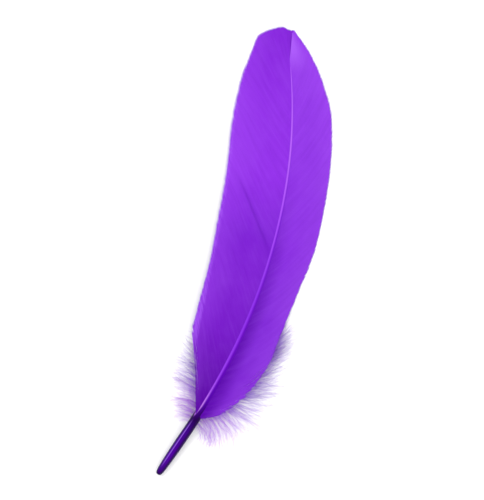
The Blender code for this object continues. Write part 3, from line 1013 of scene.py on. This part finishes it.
def vane_material(
    name, clouds, streaks, stops, seed, painted_shade_beside_shaft, painted_edge_light, rim_light_streaks, painted_tip_reflection
):
    """Dyed vane: its colours run from base to tip, with streaks along the barbs, painted shade
    beside the shaft and in the crease, and painted light towards the edges, on the rim and near
    the tip.
    """
    material, tree, shader = new_material(
        name, Specular_IOR_Level=0.07, Specular_Tint=SHINE, Sheen_Weight=0.03,
        Sheen_Roughness=0.4, Sheen_Tint=SHINE,
    )
    place, out, edge = (measured(tree, key) for key in ("place_mm", "out_mm", "edge_share"))
    lines = placed(tree, streaks, Seed=seed)
    broad, fine, single = (lines[key] for key in ("Broad", "Fine", "Single"))
    low = between(tree, place, *TOWARDS_BASE)
    painted_shade_near_shaft = times(tree, between(tree, out, *SHADE_BESIDE_SHAFT), low)
    start = maths(tree, "MULTIPLY_ADD", place, RIM_GROWTH, RIM_START)
    start = maths(tree, "MINIMUM", start, RIM_START_LIMIT)
    rim = between(tree, edge, start, maths(tree, "ADD", start, RIM_FADE))
    painted_rim_light = (rim, between(tree, fine, *RIM_LIGHT_STREAKS), between(tree, place, *ABOVE_DOWN))
    tip_reflection_mask = (between(tree, place, *TIP_REFLECTION), between(tree, edge, *INSIDE_TIP))
    parted = between(tree, measured(tree, "parted"), *PARTED_BARBS)
    dye = ramp(tree, maths(tree, "DIVIDE", place, FEATHER_END / MM), stops)
    for amount, colour, *masks in (
        # Painted shade: a deep violet band beside the shaft, within about 11 mm of it and towards
        # the base
        (painted_shade_beside_shaft, DEEP_DYE_AND_SHADE, painted_shade_near_shaft),
        # Painted light: paler over the outer part of the vane, towards its edge
        (painted_edge_light, PAINTED_EDGE_LIGHT, between(tree, edge, *OUTER_VANE)),
        (0.07, DEEP_DYE_AND_SHADE, between(tree, broad, *DARK_STREAKS)),
        (0.06, PALE_DYE_AND_PAINTED_LIGHT, between(tree, broad, *PALE_STREAKS)),
        (0.05, PALE_DYE_AND_PAINTED_LIGHT, between(tree, fine, *FINE_STREAKS)),
        (0.07, DEEP_DYE_AND_SHADE, single),
        # Painted light: pale streaks along the wide vane's rim, where the edge catches the light
        (rim_light_streaks, PALE_DYE_AND_PAINTED_LIGHT, *painted_rim_light),
        # Painted shade in the crease, where the barbs dip
        (0.32, DEEP_DYE_AND_SHADE, measured(tree, "crease")),
        # Painted reflection: a paler patch near the tip, where the curved narrow vane reflects the
        # lamp
        (painted_tip_reflection, PALE_DYE_AND_PAINTED_LIGHT, *tip_reflection_mask),
        (0.25, PALE_DYE_AND_PAINTED_LIGHT, parted, between(tree, single, *PALE_BARBS)),
    ):
        dye = touched(tree, dye, amount, colour, *masks)
    # The clouds are fainter under the painted shade beside the shaft
    amount = maths(tree, "MULTIPLY_ADD", painted_shade_near_shaft, -0.05, 0.08)
    cloudy = placed(tree, clouds, Dye=dye, Thin_Dye=PALE_DYE_AND_PAINTED_LIGHT, Scale=70.0, Amount=amount)
    tree.links.new(cloudy["Colour"], shader.inputs["Base Color"])
    tree.links.new(varied(tree, fine, 0.66, 0.84), shader.inputs["Roughness"])
    return material


def quill_material(clouds):
    """Dyed horn: a nearly black quill, then a bright ridge with a deep violet flank. The gleam and
    part of the ridge are painted highlight, the quill's dark rims and part of the flank painted
    shade.
    """
    material, tree, shader = new_material(
        "dyed_horn_with_painted_light", Specular_IOR_Level=0.24, Specular_Tint=SHINE,
    )
    root = measured(tree, "root_mm")
    place = maths(tree, "DIVIDE", root, SHAFT_END / MM)
    across = measured(tree, "profile_across")
    body = ramp(tree, place, FLANK_DYES_AND_SHADE)
    quill = between(tree, root, *BARE_QUILL)
    # Painted shade: the quill darkens towards QUILL_SHADE on its right side and at its left rim
    for flank in QUILL_FLANKS:
        body = touched(tree, body, 0.86, QUILL_SHADE, quill, between(tree, across, *flank))
    # Painted highlight: a thin pale line along the quill's left third
    aside = between(tree, away_from(tree, across, GLEAM_PLACE), *GLEAM_SIDES)
    gleam = (between(tree, root, *GLEAM_TO), aside, between(tree, root, *GLEAM_FROM))
    body = touched(tree, body, 0.60, QUILL_GLEAM, *gleam)
    # The pale ridge, partly the rachis's own paler top and partly a painted highlight on its left
    # side, starts in a point on the left of the shaft, widens and moves to its middle
    half = times(tree, between(tree, root, *RIDGE_OPENS, False), RIDGE_WIDTH)
    widening = between(tree, root, *RIDGE_WIDENS, False)
    half = maths(tree, "MULTIPLY_ADD", widening, RIDGE_WIDTH_GAIN, half)
    centre = times(tree, between(tree, root, *RIDGE_LEFT), RIDGE_PLACE)
    flat = times(tree, half, RIDGE_FLAT_SHARE)
    ridge_and_highlight = between(tree, away_from(tree, across, centre), half, flat)
    ridge_and_highlight = times(tree, ridge_and_highlight, between(tree, root, *RIDGE_FROM))
    dye = blended(tree, ridge_and_highlight, body, ramp(tree, place, RIDGE_DYES_AND_HIGHLIGHT))
    cloudy = placed(tree, clouds, Dye=dye, Thin_Dye=THIN_QUILL_DYE, Scale=260.0, Amount=0.03)
    tree.links.new(cloudy["Colour"], shader.inputs["Base Color"])
    tree.links.new(varied(tree, cloudy["Thinness"], 0.34, 0.44), shader.inputs["Roughness"])
    grain = {"Height": noise(tree, 1400.0, Detail=3.0), "Strength": 0.06, "Distance": 0.0001}
    bump = put(tree, "ShaderNodeBump", grain)
    tree.links.new(bump.outputs["Normal"], shader.inputs["Normal"])
    return material


def down_material(clouds):
    """Dyed down: violet at its roots, paler towards its thin ends."""
    material, tree, shader = new_material(
        "dyed_down", Roughness=0.85, Specular_IOR_Level=0.05, Sheen_Weight=0.15,
        Sheen_Roughness=0.5, Sheen_Tint=DOWN_SHINE,
    )
    share = measured(tree, "length_share")
    strands, barbules = (ramp(tree, share, stops) for stops in (STRAND_DYES, BARBULE_DYES))
    on_barbule = between(tree, measured(tree, "barbule"), *ON_BARBULE)
    dye = blended(tree, on_barbule, strands, barbules)
    by_the_quill = between(tree, measured(tree, "root_mm"), *BESIDE_QUILL)
    dye = touched(tree, dye, 0.45, QUILL_SIDE_DOWN_DYE, by_the_quill)
    cloudy = placed(tree, clouds, Dye=dye, Thin_Dye=THIN_DOWN_DYE, Scale=300.0, Amount=0.35)
    tree.links.new(cloudy["Colour"], shader.inputs["Base Color"])
    return material


# Pieces


def build_feather():
    """The pieces, each with its slot."""
    clouds, streaks = cloud_group(), streak_group()
    wide_dye = vane_material(
        "dyed_wide_vane_with_painted_light", clouds, streaks, WIDE_VANE_DYES_AND_SHADE, seed=3.0,
        painted_shade_beside_shaft=0.10, painted_edge_light=0.32, rim_light_streaks=0.68, painted_tip_reflection=0.0,
    )
    narrow_dye = vane_material(
        "dyed_narrow_vane_with_painted_light", clouds, streaks, NARROW_VANE_DYES_AND_SHADE, seed=40.0,
        painted_shade_beside_shaft=0.92, painted_edge_light=0.38, rim_light_streaks=0.0, painted_tip_reflection=1.0,
    )
    barbs, strands = barb_tree(), down_tree()
    pieces = []
    for name, vane, seed, material, tilt in (
        ("wide_vane", WIDE_VANE, 11, wide_dye, 0.12),
        ("narrow_vane", NARROW_VANE, 23, narrow_dye, -0.12),
    ):
        sizes = {"Material": material, "Web Tilt": tilt}
        pieces.append((grow(name, barb_guides(vane, seed), barbs, sizes, tall=14), "vane"))
    sizes = {"Material": quill_material(clouds)}
    pieces.append((grow("shaft", shaft_guide(), shaft_tree(), sizes), "shaft"))
    template = plain_object("barbule", barbule_mesh())
    sizes = {"Material": down_material(clouds), "Barbule": template}
    for name, vane, down, locks, seed in (
        ("wide_side_down", WIDE_VANE, WIDE_DOWN, WIDE_DOWN_LOCKS, 5),
        ("narrow_side_down", NARROW_VANE, NARROW_DOWN, NARROW_DOWN_LOCKS, 37),
    ):
        guides = down_guides(vane, down, locks, seed)
        pieces.append((grow(name, guides, strands, {**sizes, "Seed": seed}), "down"))
    bpy.data.objects.remove(template)
    return pieces


# Floor, light and camera

SKY_STRENGTH = 0.82
# Name, place and side in metres, and power in watts
LAMPS = (
    ("key", (-0.52, 0.20, 0.84), 0.26, 1.6),
    ("fill", (0.60, 0.40, 0.85), 0.90, 1.5),
)


def build_floor():
    mesh = bpy.data.meshes.new("floor")
    radius, sides = 4.0, 96
    turns = [2 * math.pi * side / sides for side in range(sides)]
    rim = [(radius * math.cos(turn), radius * math.sin(turn), 0.0) for turn in turns]
    mesh.from_pydata(rim, [], [tuple(range(sides))])
    floor = plain_object("floor", mesh)
    material, tree, shader = new_material("white_table", Roughness=0.9, Specular_IOR_Level=0.0)
    greys = ((0.3, (0.97, 0.97, 0.97, 1)), (0.7, (0.985, 0.985, 0.985, 1)))
    tree.links.new(ramp(tree, noise(tree, 3.0), greys), shader.inputs["Base Color"])
    mesh.materials.append(material)


def build_light():
    world = bpy.data.worlds.new("studio")
    world.use_nodes = True
    background = world.node_tree.nodes["Background"]
    background.inputs["Color"].default_value = (1.0, 1.0, 1.0, 1.0)
    background.inputs["Strength"].default_value = SKY_STRENGTH * LIGHT_LEVEL
    bpy.context.scene.world = world
    for name, place, size, power in LAMPS:
        lamp = bpy.data.lights.new(name, "AREA")
        lamp.size = size
        lamp.energy = power * LIGHT_LEVEL
        holder = plain_object(name, lamp)
        holder.location = place
        holder.rotation_euler = (-Vector(place)).to_track_quat("-Z", "Y").to_euler()


def build_camera():
    """Straight above, turned so that the feather leans as it does in the photograph."""
    camera = bpy.data.cameras.new("camera")
    frame_height, distance, turn = 0.190, 1.2, 15.87
    middle = (-0.00635, 0.00170)
    camera.sensor_width = 36.0
    camera.lens = camera.sensor_width * distance / frame_height
    camera.clip_end = 20.0
    holder = plain_object("camera", camera)
    holder.location = (*middle, distance)
    holder.rotation_euler = (0.0, 0.0, math.radians(turn))
    bpy.context.scene.camera = holder


def main():
    bpy.context.scene.view_settings.view_transform = "Standard"
    for piece, slot in build_feather():
        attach(piece, "root")
        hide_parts("feather")
    build_floor()
    build_light()
    build_camera()


main()
